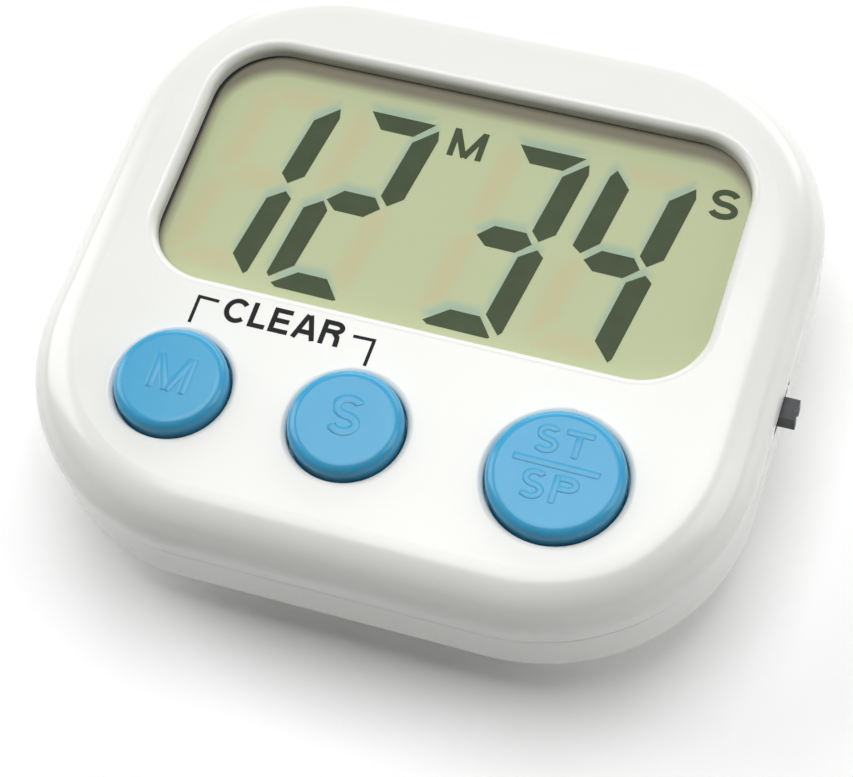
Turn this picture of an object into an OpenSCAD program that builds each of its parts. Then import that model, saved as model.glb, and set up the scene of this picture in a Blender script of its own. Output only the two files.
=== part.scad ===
// Pocket lab timer: a two-part case with a window, three push buttons, a side switch,
// a fold-out stand and an AAA cell. +Z points out of the face, +Y to the top of the
// display. The origin is the centre of the flat back face that the timer rests on.

/* [Case] */
// Width of the case, left to right
body_w = 70; // [69:0.5:74]
// Height of the case, lower edge to upper edge
body_h = 63; // [62:0.5:66]
// Thickness of the case, back face to front face
body_t = 19; // [19:0.1:20]
// Corner radius of the case seen from the front
corner_r = 20; // [19:0.5:21]
// Radius of the round shoulder between the face and the sides
shoulder_r = 4.5; // [3.5:0.1:5]
// Thickness of the side walls
wall = 2; // [1.8:0.1:2.2]
// Thickness of the face
face_t = 1.7; // [1.6:0.05:1.8]
// Height of the front cover, face to seam
front_depth = 6.2; // [6:0.1:6.4]
// Height of the side wall, face to the rim at the back
side_depth = 11.8; // [11.6:0.1:12]
// Amount the rear cover's wall stands back from the front cover's
seam_step = 0.15; // [0.1:0.05:0.3]

/* [Window] */
// Width of the window at the face
window_w = 56.6; // [56:0.1:57]
// Height of the window at the face
window_h = 29.1; // [28.5:0.1:29.4]
// Height of the window's centre above the case's centre
window_y = 7.8; // [7.6:0.05:7.9]
// Corner radius of the window at the face
window_r = 7.4; // [6.5:0.1:8]
// Radius of the window's rounded edge
window_edge_r = 0.9; // [0.7:0.1:1.1]

/* [Buttons] */
// Radius of the two small button holes
small_hole_r = 5.6; // [5.4:0.05:5.9]
// Radius of the large button hole
large_hole_r = 6.6; // [6.2:0.05:6.9]
// Gap between a button and its hole
button_gap = 0.2; // [0.2:0.05:0.4]
// Height of a button above the face
button_proud = 1.35; // [1:0.05:1.6]
// Radius of the edge of each button hole
hole_edge_r = 0.6; // [0.3:0.05:0.8]
// Radius of a button's top edge
button_edge_r = 1; // [0.6:0.1:1.2]
// Travel of a button
button_travel = 0.7; // [0.5:0.1:0.7]
// Distance of the button row below the case's centre
button_row = 17.5; // [17:0.1:18]

/* [Switch] */
// Height of the switch slot's centre above the case's centre
switch_y = -2.65; // [-3:0.05:-2.4]
// Travel of the knob
switch_travel = 1.5; // [1.2:0.1:1.5]
// Distance the knob stands out of the side
knob_proud = 1.5; // [1:0.1:2]

/* [Back] */
// Width of the raised back
plateau_w = 54; // [54:0.2:55]
// Height of the raised back
plateau_h = 45; // [45:0.2:46]
// Corner radius of the raised back
plateau_r = 6; // [5.5:0.1:6.2]
// Radius of the raised back's edge
plateau_edge_r = 1.5; // [1:0.1:1.5]
// Length of the stand, pivot to tip
stand_l = 15.8; // [14:0.1:15.8]
// Width of the stand
stand_w = 24.2; // [20:0.1:24.2]
// Radius of each magnet
magnet_r = 4.95; // [4:0.05:4.95]

/* [Hidden] */
$fn = 96;
eps = 1;
// overlap where two shapes of one piece join
weld = 0.1;

// levels
face_z = body_t;
ceiling_z = face_z - face_t;
seam_z = face_z - front_depth;
rim_z = face_z - side_depth;
rim_floor_t = 1.6;
rim_edge_r = 0.5;
seam_edge_r = 0.2;
seam_groove_h = 0.2;
seam_groove_d = 0.4;
plateau_y = 0.5;
plateau_wall = 1.8;

// where front and rear cover overlap: a tongue on the rear one
tongue_in = 1.1;
tongue_t = 0.8;
tongue_h = 1;
tongue_gap = 0.1;
tongue_root = 0.5;

// display
lcd_w = 56.4;
lcd_top = 23.1;
lcd_bottom = -8.2;
lcd_gap = 0.05;
film_t = 0.15;
glass_t = 0.8;
ledge_h = 2.8;
lcd_front_z = ceiling_z - lcd_gap - film_t;
lcd_mid_z = lcd_front_z - glass_t;
lcd_back_z = lcd_mid_z - glass_t;
rear_film_t = 0.25;
lcd_pocket_gap = 0.3;
lcd_pocket_low = 2;
film_in = 0.4;
film_low = 1;
zebra_half_w = 27;
zebra_gap = 0.3;

// circuit board
board_t = 1;
board_top = face_z - 4.2;
board_bottom = board_top - board_t;
board_low = -23.8;
board_high = 2;
board_in = 3.4;
board_screw_at = [[-29.6, -11], [29.6, -11], [-10.6, -12.6], [8.2, -12.2]];
board_post_r = 2;
board_thread_r = 0.6;
board_hole_r = 0.9;
retainer_t = 0.8;
retainer_gap = 0.1;
retainer_z = lcd_back_z - rear_film_t - retainer_gap;
retainer_screw_at = [[-31.5, 10], [31.5, 10]];
retainer_post_r = 1.6;
retainer_ear_r = 1.3;
retainer_hole_r = 0.7;
retainer_thread_r = 0.5;
retainer_half_w = 28;
retainer_low = 2.4;
retainer_window_x = [-23.5, 1.5];
retainer_window_y = [6, 19.5];
retainer_window_w = 22;
pilot_end = 0.3;

// pieces under the board
blob_at = [-2, -12];
blob_ball_r = 7;
blob_h = 1.6;
blob_cut_half_w = 10;
blob_cut_d = 3;
crystal_x = [12, 18];
crystal_y = -6.5;
crystal_r = 1;
crystal_drop = 1.1;
lead_l = 1.6;
lead_r = 0.15;
lead_half_pitch = 0.4;
chip_l = 2;
chip_w = 1.25;
capacitor_h = 1.1;
capacitor_at = [[20, -12], [20, -16], [-14, -6]];
resistor_h = 0.5;
resistor_at = [[-20, -8], [-20, -12], [-20, -16], [13, -20]];

// screw heads: radius and thickness
case_head = [2, 1.2];
board_head = [1.5, 0.8];
retainer_head = [1.3, 0.7];
case_shank_l = 5.6;
board_shank_l = 2.2;
retainer_shank_l = 1.6;

// case screws
case_screw_at = [[-17, 26.5], [17, 26.5], [-10, -26.7], [10, -26.7]];
case_post_r = 2.4;
thread_r = 0.9;
thread_gap = 0.02;
case_seat_z = rim_z + 2.2;
case_floor_z = case_seat_z + 1.6;
screw_well_r = 2.3;
screw_boss_r = 3.1;
screw_hole_r = 1.1;

// buttons: centre x, hole radius
button_m_x = -19.2;
button_s_x = -2;
button_st_x = 18;
flange_out = 0.8;
flange_t = 0.7;
flange_gap = 0.15;
dome_h = button_travel + 0.6;
dome_base_t = 0.4;
dome_base_r = 4.2;
dome_skirt_r = 3.2;
dome_top_r = 1.9;
dome_bevel = [0.2, 0.1];
dome_hollow_h = 0.5;
dome_hollow_r = [1.6, 3];
dome_clear = 0.05;
stem_r = 2;
button_wall = 1.3;
button_top_t = 1.6;
key_w = 1;
key_gap = 0.3;
key_start = 0.25;
key_over = 0.5;
flange_notch = 2;

// slide switch
knob_l = 2.2;
knob_h = 1.9;
knob_notch = 0.6;
knob_gap = 0.1;
slot_end = 1;
slot_l = knob_l + switch_travel + 2 * slot_end;
slot_h = 2.5;
carriage_l = 4;
carriage_h = 1;
carriage_x = 29.3;
carriage_gap = 0.2;
switch_wall = 1;
switch_l = carriage_l + switch_travel + 2 * (switch_wall + carriage_gap) + 0.5;
switch_x = [27, 31.4];
switch_drop = 1;
switch_back_gap = 0.3;

// battery bay and door
cell_r = 5.25;
cell_y = 13.2;
cell_z = 7;
cell_x = [-20, 23.6];
nub_l = 1;
bay_half_w = 25.2;
bay_gap = 0.35;
bay_wall = 1.2;
bay_top_z = 13.2;
bay_ceiling_t = 0.8;
tail_slot = [2, 0.6, 4];
door_half_w = 24.3;
door_low = 4.7;
door_t = 1.5;
door_gap = 0.2;
door_under_gap = 0.35;
lip_gap = 0.3;
tab_gap = 0.15;
lip_t = 1.6;
lip_z = 5.2;
rail_x = [23.7, 25];
rail_web_t = 0.6;
rail_z = [2.05, 2.9];
rail_y = [5.2, 18];
groove_x = [23.3, 25.3];
groove_z = 3.2;
tab_half_w = 4;
tab_l = 1.4;
tab_z = 0.8;
grip_half_w = 7;
grip_y = 14;
grip_pitch = 1.2;
grip_w = 0.6;
grip_depth = 0.3;
contact_t = 0.4;
contact_half_w = 4.2;
contact_low = 3.6;
contact_tail_w = 2.4;
wire_r = 0.4;

// stand
pivot_y = -4.6;
pivot_z = 1.5;
barrel_r = 1.4;
nub_r = 0.9;
nub_gap = 0.06;
nub_out = 1.1;
nub_end_gap = 0.2;
stand_t = 1.8;
stand_sunk = 0.1;
recess_gap = 0.3;
recess_z = 3.1;
recess_floor_t = 1.5;
recess_wall = 1.5;
recess_block_in = 0.6;
recess_block_over = 3.2;
recess_block_z = 0.5;
stand_corner_r = 2.5;
stand_hole_r = 1.9;
finger_r = 7;
finger_y = -27;

// magnets and sounder
magnet_at = [19.8, -9.5];
magnet_t = 1.55;
magnet_sunk = 0.1;
magnet_gap = 0.08;
cup_wall = 1.2;
cup_z = 0.5;
cup_floor_t = 1.25;
sounder_y = -12.3;
sounder_z = recess_z + recess_floor_t;
disc_r = 7.5;
disc_t = 0.3;
ceramic_r = 5.5;
ceramic_t = 0.2;
sound_hole_r = 0.7;
sound_hole_pitch = 2.6;

// ---------------------------------------------------------------- shared shapes

// A solid with a rounded-rectangle outline. The 2-D child is the section of its edge,
// drawn outwards from the centre of the corner, with its left side on x = 0.
module swept_block(w, h, r, z0, z1) {
    flat_w = w - 2 * r;
    flat_h = h - 2 * r;
    for (c = [[1, 1, 0], [-1, 1, 90], [-1, -1, 180], [1, -1, 270]])
        translate([c[0] * flat_w / 2, c[1] * flat_h / 2, 0])
            rotate([0, 0, c[2]])
                rotate_extrude(angle = 90)
                    children();
    for (s = [[0, flat_w, flat_h], [90, flat_h, flat_w], [180, flat_w, flat_h], [270, flat_h, flat_w]])
        rotate([0, 0, s[0]])
            translate([s[1] / 2, s[2] / 2, 0])
                rotate([90, 0, 0])
                    linear_extrude(s[2])
                        children();
    translate([-flat_w / 2, -flat_h / 2, z0])
        cube([flat_w, flat_h, z1 - z0]);
}

// Edge section with a round top corner of radius ft and a round bottom one of radius fb
module round_section(r, z0, z1, ft, fb) {
    translate([0, z0])
        square([r - max(ft, fb), z1 - z0]);
    translate([0, z0 + fb])
        square([r, z1 - z0 - ft - fb]);
    if (ft > 0)
        round_band(r, ft, z1 - ft, z1 - ft);
    if (fb > 0)
        round_band(r, fb, z0, z0 + fb);
}

// Band of that section, f high, whose outer corner is a quarter of a disc centred at arc_z
module round_band(r, f, z0, arc_z) {
    translate([0, z0])
        square([r - f, f]);
    intersection() {
        translate([r - f, z0])
            square([f, f]);
        translate([r - f, arc_z])
            circle(f);
    }
}

// Block with the case's outline, drawn in by a distance
module case_block(inset, z0, z1, ft = 0, fb = 0) {
    r = corner_r - inset;
    swept_block(body_w - 2 * inset, body_h - 2 * inset, r, z0, z1)
        round_section(r, z0, z1, ft, fb);
}

// Block with the raised back's outline, drawn in by a distance
module plateau_block(inset, z0, z1, fb = 0) {
    r = plateau_r - inset;
    translate([0, plateau_y, 0])
        swept_block(plateau_w - 2 * inset, plateau_h - 2 * inset, r, z0, z1)
            round_section(r, z0, z1, 0, fb);
}

// Box given by its corners
module span(x, y, z) {
    translate([x[0], y[0], z[0]])
        cube([x[1] - x[0], y[1] - y[0], z[1] - z[0]]);
}

// Upright cylinder at a place, between two levels
module post(at, r, z0, z1) {
    translate([at[0], at[1], z0])
        cylinder(r = r, h = z1 - z0);
}

// Cylinder along X between two places
module rod_x(x0, x1, y, z, r) {
    translate([x0, y, z])
        rotate([0, 90, 0])
            cylinder(r = r, h = x1 - x0);
}

// Pan-head screw with a cross recess; its head's underside is at z = 0 and it points up
module screw(head, shank_r, shank_l) {
    head_r = head[0];
    head_t = head[1];
    slot_w = head_r * 0.3;
    difference() {
        union() {
            rotate_extrude()
                union() {
                    translate([0, -head_t])
                        square([head_r - head_t / 2, head_t]);
                    translate([0, -head_t / 2])
                        square([head_r, head_t / 2]);
                    translate([head_r - head_t / 2, -head_t / 2])
                        circle(head_t / 2);
                }
            cylinder(r = shank_r, h = shank_l);
            translate([0, 0, shank_l])
                cylinder(r1 = shank_r, r2 = 0.1, h = shank_r * 1.5);
        }
        for (a = [0, 90])
            rotate([0, 0, a])
                translate([-head_r * 0.6, -slot_w / 2, -head_t - eps])
                    cube([head_r * 1.2, slot_w, eps + head_t * 0.6]);
    }
}

// Smooth curve through a list of points
function curve_point(a, b, c, d, t) =
    0.5 * (2 * b + (c - a) * t + (2 * a - 5 * b + 4 * c - d) * t * t
        + (3 * b - a - 3 * c + d) * t * t * t);
function curve(p, steps) = [
    for (i = [0 : len(p) - 2]) for (k = [0 : steps - (i < len(p) - 2 ? 1 : 0)])
        curve_point(p[max(i - 1, 0)], p[i], p[i + 1], p[min(i + 2, len(p) - 1)], k / steps)
];
function unit(v) = v / norm(v);

// Round wire along a path; ref is a direction that the path never takes
module wire(path, r, ref, sides = 8) {
    n = len(path);
    rings = [for (i = [0 : n - 1])
        let (t = unit(path[min(i + 1, n - 1)] - path[max(i - 1, 0)]),
            u = unit(cross(ref, t)),
            v = cross(t, u))
        for (k = [0 : sides - 1])
            path[i] + r * (cos(360 * k / sides) * u + sin(360 * k / sides) * v)];
    skin = [for (i = [0 : n - 2]) for (k = [0 : sides - 1])
        [i * sides + k, i * sides + (k + 1) % sides,
            (i + 1) * sides + (k + 1) % sides, (i + 1) * sides + k]];
    polyhedron(points = rings, faces = concat([for (f = skin) [f[3], f[2], f[1], f[0]]],
        [[for (k = [0 : sides - 1]) k]], [[for (k = [sides - 1 : -1 : 0]) (n - 1) * sides + k]]));
}

// ---------------------------------------------------------------- covers

module window_cut() {
    r = window_r - window_edge_r;
    w = window_w - 2 * window_edge_r;
    h = window_h - 2 * window_edge_r;
    arc_z = face_z - window_edge_r;
    translate([0, window_y, 0])
        swept_block(w, h, r, ceiling_z - eps, face_z + eps)
            union() {
                translate([0, ceiling_z - eps])
                    square([r, face_z - ceiling_z + 2 * eps]);
                difference() {
                    translate([r, arc_z])
                        square([window_edge_r, window_edge_r + eps]);
                    translate([window_r, arc_z])
                        circle(window_edge_r);
                }
            }
}

module switch_slot(z0, z1) {
    span([body_w / 2 - wall - 2 * eps, body_w / 2 + eps],
        [switch_y - slot_l / 2, switch_y + slot_l / 2], [z0, z1]);
}

// Button hole with a rounded edge at the face
module button_hole(x, r) {
    translate([x, -button_row, 0]) {
        post([0, 0], r, ceiling_z - eps, face_z + eps);
        rotate_extrude()
            difference() {
                translate([r, face_z - hole_edge_r])
                    square([hole_edge_r, hole_edge_r + eps]);
                translate([r + hole_edge_r, face_z - hole_edge_r])
                    circle(hole_edge_r);
            }
    }
}

// Key under the face that stops a button from turning
module button_key(x, hole_r) {
    span([x - key_w / 2, x + key_w / 2],
        [-button_row + hole_r + key_start, -button_row + hole_r + flange_out + key_over],
        [ceiling_z - flange_gap - flange_t, ceiling_z + weld]);
}

module front_cover() {
    buttons = [[button_m_x, small_hole_r], [button_s_x, small_hole_r], [button_st_x, large_hole_r]];
    color("white")
        difference() {
            union() {
                difference() {
                    case_block(0, seam_z, face_z, shoulder_r, seam_edge_r);
                    case_block(wall, seam_z - eps, ceiling_z, shoulder_r - wall + weld);
                    case_block(tongue_in - tongue_gap, seam_z - eps,
                        seam_z + tongue_h + tongue_gap);
                }
                for (p = case_screw_at)
                    post(p, case_post_r, case_floor_z + weld, ceiling_z + weld);
                for (p = board_screw_at)
                    post(p, board_post_r, board_top, ceiling_z + weld);
                for (p = retainer_screw_at)
                    post(p, retainer_post_r, retainer_z, ceiling_z + weld);
                for (b = buttons)
                    button_key(b[0], b[1]);
            }
            window_cut();
            span([-lcd_w / 2 - lcd_pocket_gap, lcd_w / 2 + lcd_pocket_gap],
                [lcd_bottom - lcd_pocket_gap, lcd_top + lcd_pocket_gap],
                [seam_z + lcd_pocket_low, ceiling_z]);
            for (b = buttons)
                button_hole(b[0], b[1]);
            for (p = case_screw_at)
                post(p, thread_r + thread_gap, case_floor_z - eps, ceiling_z - pilot_end);
            for (p = board_screw_at)
                post(p, board_thread_r + thread_gap, board_top - eps, ceiling_z - pilot_end);
            for (p = retainer_screw_at)
                post(p, retainer_thread_r + thread_gap, retainer_z - eps, ceiling_z - pilot_end);
            switch_slot(seam_z - eps, seam_z + slot_h / 2);
        }
}

module rear_shell() {
    difference() {
        union() {
            case_block(seam_step, rim_z, seam_z - seam_groove_h, seam_edge_r, rim_edge_r);
            case_block(seam_step + seam_groove_d, case_seat_z, seam_z);
            plateau_block(0, 0, rim_z + rim_edge_r, plateau_edge_r);
            difference() {
                case_block(tongue_in, seam_z - tongue_root, seam_z + tongue_h);
                case_block(tongue_in + tongue_t, seam_z - eps, seam_z + tongue_h + eps);
            }
        }
        case_block(wall + seam_step, rim_z + rim_floor_t, seam_z + tongue_h + eps);
        plateau_block(plateau_wall, plateau_wall, rim_z + rim_floor_t + eps);
    }
}

// Partitions and roof around the cell, from the back face to the board's level
module bay_walls() {
    y0 = cell_y - cell_r - bay_gap;
    y1 = cell_y + cell_r + bay_gap;
    outer_w = bay_half_w + bay_wall;
    difference() {
        span([-outer_w, outer_w], [y0 - bay_wall, y1 + bay_wall], [plateau_wall, bay_top_z]);
        span([-bay_half_w, bay_half_w], [y0, y1], [0, bay_top_z - bay_ceiling_t]);
        for (s = [-1, 1])
            translate([s * bay_half_w, cell_y, bay_top_z])
                cube([tail_slot[0], contact_tail_w + tail_slot[1], tail_slot[2]], center = true);
    }
}

module stand_recess() {
    half_w = stand_w / 2 + recess_gap;
    pivot_w = half_w + nub_out + nub_end_gap;
    span([-half_w, half_w], [pivot_y - stand_l - recess_gap, pivot_y + barrel_r + recess_gap],
        [-eps, recess_z]);
    rod_x(-pivot_w, pivot_w, pivot_y, pivot_z, nub_r + nub_gap);
    post([0, finger_y], finger_r, -eps, recess_z);
}

// Opening for the door, with the grooves for its rails and the notch for its tab
module door_opening() {
    w = door_half_w + door_gap;
    top = plateau_y + plateau_h / 2;
    span([-w, w], [door_low - door_gap, top + eps], [-eps, door_t + door_under_gap]);
    span([-w, w], [top - lip_t - door_gap, top + eps], [-eps, lip_z + lip_gap]);
    for (s = [0, 1])
        mirror([s, 0, 0])
            span(groove_x, [rail_y[0] - door_gap, top + eps], [door_t, groove_z]);
    span([-tab_half_w - door_gap, tab_half_w + door_gap],
        [door_low - tab_l - door_gap, door_low], [tab_z - tab_gap, plateau_wall + eps]);
}

module sounder_holes() {
    for (p = [[0, 0], [1, 0], [-1, 0], [0, 1], [0, -1]])
        post([p[0] * sound_hole_pitch, sounder_y + p[1] * sound_hole_pitch], sound_hole_r,
            recess_z - eps, sounder_z + eps);
}

module rear_cover() {
    half_w = stand_w / 2 + recess_gap + recess_wall;
    color("white")
        difference() {
            union() {
                rear_shell();
                bay_walls();
                span([-half_w, half_w],
                    [plateau_y - plateau_h / 2 + recess_block_in, pivot_y + recess_block_over],
                    [recess_block_z, sounder_z]);
                for (s = [-1, 1])
                    post([s * magnet_at[0], magnet_at[1]], magnet_r + cup_wall, cup_z,
                        magnet_sunk + magnet_t + cup_floor_t);
                for (p = case_screw_at)
                    post(p, screw_boss_r, rim_z + rim_edge_r, case_floor_z);
            }
            door_opening();
            stand_recess();
            sounder_holes();
            for (s = [-1, 1])
                post([s * magnet_at[0], magnet_at[1]], magnet_r + magnet_gap, -eps,
                    magnet_sunk + magnet_t);
            for (p = case_screw_at) {
                post(p, screw_well_r, rim_z - eps, case_seat_z);
                post(p, screw_hole_r, rim_z, case_floor_z + eps);
            }
            switch_slot(seam_z - slot_h / 2, seam_z + tongue_h + eps);
        }
}

// Rail on one side of the door, which hooks over the edge of the opening
module door_rail() {
    span([rail_x[0], rail_x[0] + rail_web_t], rail_y, [door_t - 2 * weld, rail_z[0] + weld]);
    span(rail_x, rail_y, rail_z);
}

module battery_door() {
    top = plateau_y + plateau_h / 2;
    color("white")
        difference() {
            union() {
                intersection() {
                    plateau_block(0, 0, rim_z, plateau_edge_r);
                    union() {
                        span([-door_half_w, door_half_w], [door_low, top], [0, door_t]);
                        span([-door_half_w, door_half_w], [top - lip_t, top], [0, lip_z]);
                    }
                }
                for (s = [0, 1])
                    mirror([s, 0, 0])
                        door_rail();
                span([-tab_half_w, tab_half_w], [door_low - tab_l, door_low + tab_l],
                    [tab_z, door_t]);
            }
            for (k = [0 : 4])
                span([-grip_half_w + k, grip_half_w - k],
                    [grip_y + grip_pitch * k, grip_y + grip_pitch * k + grip_w], [-eps, grip_depth]);
        }
}

module stand() {
    tip = pivot_y - stand_l;
    half_w = stand_w / 2;
    r = stand_corner_r;
    color("white")
        difference() {
            union() {
                translate([0, 0, stand_sunk])
                    linear_extrude(stand_t)
                        union() {
                            translate([-half_w, tip + r])
                                square([stand_w, stand_l - r]);
                            translate([-half_w + r, tip])
                                square([stand_w - 2 * r, r]);
                            for (s = [-1, 1])
                                translate([s * (half_w - r), tip + r])
                                    circle(r);
                        }
                rod_x(-half_w, half_w, pivot_y, pivot_z, barrel_r);
                rod_x(-half_w - nub_out, half_w + nub_out, pivot_y, pivot_z, nub_r);
            }
            post([0, tip + 2 * r], stand_hole_r, -eps, recess_z);
        }
}

// ---------------------------------------------------------------- buttons

module button(x, hole_r) {
    r = hole_r - button_gap;
    top = face_z + button_proud;
    flange_z = ceiling_z - flange_gap;
    flange_low = flange_z - flange_t;
    foot = board_top + dome_h + dome_clear;
    color("deepskyblue")
        translate([x, -button_row, 0])
            union() {
                difference() {
                    union() {
                        rotate_extrude()
                            round_section(r, flange_low, top, button_edge_r, 0);
                        post([0, 0], hole_r + flange_out, flange_low, flange_z);
                    }
                    post([0, 0], r - button_wall, foot - eps, top - button_top_t);
                    span([-key_w / 2 - key_gap, key_w / 2 + key_gap], [hole_r - weld, hole_r + flange_notch],
                        [flange_low - eps, flange_z + weld]);
                }
                post([0, 0], stem_r, foot, top - button_top_t + weld);
            }
}

module dome(x) {
    color("lightgray")
        translate([x, -button_row, board_top])
            rotate_extrude()
                polygon([[0, dome_hollow_h], [dome_hollow_r[0], dome_hollow_h], [dome_hollow_r[1], 0],
                    [dome_base_r, 0], [dome_base_r, dome_base_t], [dome_skirt_r, dome_base_t],
                    [dome_top_r, dome_h - dome_bevel[1]], [dome_top_r - dome_bevel[0], dome_h],
                    [0, dome_h]]);
}

// ---------------------------------------------------------------- board

module circuit_board() {
    color("darkgreen")
        difference() {
            intersection() {
                case_block(board_in, board_bottom, board_top);
                span([-body_w / 2, body_w / 2], [board_low, board_high], [0, face_z]);
            }
            for (p = board_screw_at)
                post(p, board_hole_r, board_bottom - eps, board_top + eps);
        }
}

module board_screws() {
    color("silver")
        for (p = board_screw_at)
            translate([p[0], p[1], board_bottom])
                screw(board_head, board_thread_r, board_shank_l);
}

module chip_blob() {
    x = blob_at[0];
    y = blob_at[1];
    half_w = blob_cut_half_w;
    color("black")
        intersection() {
            translate([x, y, board_bottom - blob_h + blob_ball_r])
                sphere(blob_ball_r);
            span([x - half_w, x + half_w], [y - half_w, y + half_w],
                [board_bottom - blob_cut_d, board_bottom]);
        }
}

module crystal() {
    z = board_bottom - crystal_drop;
    color("silver") {
        rod_x(crystal_x[0], crystal_x[1], crystal_y, z, crystal_r);
        for (dy = [-lead_half_pitch, lead_half_pitch])
            rod_x(crystal_x[0] - lead_l, crystal_x[0], crystal_y + dy, z, lead_r);
    }
}

// Small block under the board
module chip(at, h) {
    span([at[0] - chip_l / 2, at[0] + chip_l / 2], [at[1] - chip_w / 2, at[1] + chip_w / 2],
        [board_bottom - h, board_bottom]);
}

module capacitors() {
    color("tan")
        for (p = capacitor_at)
            chip(p, capacitor_h);
}

module resistors() {
    color("dimgray")
        for (p = resistor_at)
            chip(p, resistor_h);
}

module switch_body() {
    y0 = switch_y - switch_l / 2;
    y1 = switch_y + switch_l / 2;
    half_h = carriage_h / 2 + carriage_gap;
    color("gainsboro")
        difference() {
            span(switch_x, [y0, y1], [seam_z - switch_drop, board_bottom]);
            span([carriage_x - switch_back_gap, switch_x[1] + eps], [y0 + switch_wall, y1 - switch_wall],
                [seam_z - half_h, seam_z + half_h]);
        }
}

module switch_knob() {
    y = switch_y;
    inner = switch_x[1] + knob_gap;
    out = body_w / 2 + knob_proud;
    color("dimgray")
        difference() {
            union() {
                span([carriage_x, inner], [y - carriage_l / 2, y + carriage_l / 2],
                    [seam_z - carriage_h / 2, seam_z + carriage_h / 2]);
                span([inner, out], [y - knob_l / 2, y + knob_l / 2],
                    [seam_z - knob_h / 2, seam_z + knob_h / 2]);
            }
            translate([out, y, seam_z])
                rotate([0, 0, 45])
                    cube([knob_notch, knob_notch, 2 * knob_h], center = true);
        }
}

// ---------------------------------------------------------------- display

module lcd_layer(y0, y1, z0, z1, inset = 0) {
    span([-lcd_w / 2 + inset, lcd_w / 2 - inset], [y0, y1], [z0, z1]);
}

module lcd_front_film() {
    color("lightgray")
        lcd_layer(lcd_bottom + film_low, lcd_top - film_in, lcd_front_z, lcd_front_z + film_t, film_in);
}

module lcd_front_glass() {
    color("lightcyan")
        lcd_layer(lcd_bottom, lcd_top, lcd_mid_z, lcd_front_z);
}

module lcd_rear_glass() {
    color("lightcyan")
        lcd_layer(lcd_bottom + ledge_h, lcd_top, lcd_back_z, lcd_mid_z);
}

module lcd_rear_film() {
    color("darkkhaki")
        lcd_layer(lcd_bottom + ledge_h + film_in, lcd_top - film_in, lcd_back_z - rear_film_t,
            lcd_back_z, film_in);
}

module zebra_strip() {
    color("plum")
        span([-zebra_half_w, zebra_half_w],
            [lcd_bottom + zebra_gap, lcd_bottom + ledge_h - zebra_gap], [board_top, lcd_mid_z]);
}

module lcd_retainer() {
    z0 = retainer_z - retainer_t;
    ear = retainer_screw_at[1];
    color("whitesmoke")
        difference() {
            union() {
                span([-retainer_half_w, retainer_half_w], [retainer_low, lcd_top], [z0, retainer_z]);
                span([-ear[0], ear[0]], [ear[1] - retainer_ear_r, ear[1] + retainer_ear_r],
                    [z0, retainer_z]);
                for (p = retainer_screw_at)
                    post(p, retainer_ear_r, z0, retainer_z);
            }
            for (x = retainer_window_x)
                span([x, x + retainer_window_w], retainer_window_y, [z0 - eps, retainer_z + eps]);
            for (p = retainer_screw_at)
                post(p, retainer_hole_r, z0 - eps, retainer_z + eps);
        }
}

module retainer_screws() {
    color("silver")
        for (p = retainer_screw_at)
            translate([p[0], p[1], retainer_z - retainer_t])
                screw(retainer_head, retainer_thread_r, retainer_shank_l);
}

// ---------------------------------------------------------------- sounder

module piezo_disc() {
    color("gold")
        post([0, sounder_y], disc_r, sounder_z, sounder_z + disc_t);
}

module piezo_ceramic() {
    color("whitesmoke")
        post([0, sounder_y], ceramic_r, sounder_z + disc_t, sounder_z + disc_t + ceramic_t);
}

module buzzer_wire_red() {
    path = [[3, -10, 5.5], [5, -9, 5.7], [8, -7, 7], [8, -4, 9.5], [6, -2.6, 12], [5, -3, 13.65]];
    color("red")
        wire(curve(path, 4), wire_r, [1, 0, 0.3]);
}

module buzzer_wire_black() {
    path = [[6.6, -13, 5.3], [8.2, -12.2, 5.8], [11, -9, 7.5], [10.6, -5, 10], [8.6, -3, 12],
        [7.6, -3, 13.65]];
    color("black")
        wire(curve(path, 4), wire_r, [1, 0, 0.3]);
}

// ---------------------------------------------------------------- power

module battery_cell() {
    edge = 0.6;
    body_l = cell_x[1] - cell_x[0];
    color("goldenrod")
        translate([cell_x[0], cell_y, cell_z])
            rotate([0, 90, 0])
                rotate_extrude()
                    polygon([[0, 0], [cell_r - edge, 0], [cell_r, edge], [cell_r, body_l - edge],
                        [cell_r - edge, body_l], [2.6, body_l], [2.6, body_l + nub_l - 0.2],
                        [2.4, body_l + nub_l], [0, body_l + nub_l]]);
}

module contact_plate(x0) {
    x = [x0, x0 + contact_t];
    span(x, [cell_y - contact_half_w, cell_y + contact_half_w],
        [contact_low, bay_top_z - bay_ceiling_t - 0.1]);
    span(x, [cell_y - contact_tail_w / 2, cell_y + contact_tail_w / 2],
        [bay_top_z - 3, bay_top_z + 0.3]);
}

module positive_contact() {
    color("silver")
        contact_plate(cell_x[1] + nub_l);
}

module negative_contact() {
    color("silver")
        contact_plate(-bay_half_w + 0.1);
}

module battery_spring() {
    start_x = -bay_half_w + 0.1 + contact_t;
    r = 0.3;
    turns = 4;
    steps = 14 * turns;
    run = cell_x[0] - start_x - 2 * r;
    path = [for (i = [0 : steps])
        let (f = i / steps, a = 360 * turns * f, coil_r = 3.6 - 1.8 * f)
        [start_x + r + run * f, cell_y + coil_r * cos(a), cell_z + coil_r * sin(a)]];
    color("silver")
        wire(path, r, [1, 0, 0]);
}

module battery_wire_red() {
    path = [[24.8, 11.9, 13.66], [24.6, 9.5, 13.72], [23.4, 6.5, 13.72], [21.6, 3.6, 13.35],
        [20, 0.5, 13.25], [19, -1.6, 13.38]];
    color("red")
        wire(curve(path, 4), wire_r, [0, 0, 1]);
}

module battery_wire_black() {
    path = [[-24.9, 11.9, 13.66], [-24.6, 9.5, 13.72], [-23.4, 6.5, 13.72], [-21.6, 3.6, 13.35],
        [-20, 0.5, 13.25], [-19, -1.6, 13.38]];
    color("black")
        wire(curve(path, 4), wire_r, [0, 0, 1]);
}

// ---------------------------------------------------------------- fasteners

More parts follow.
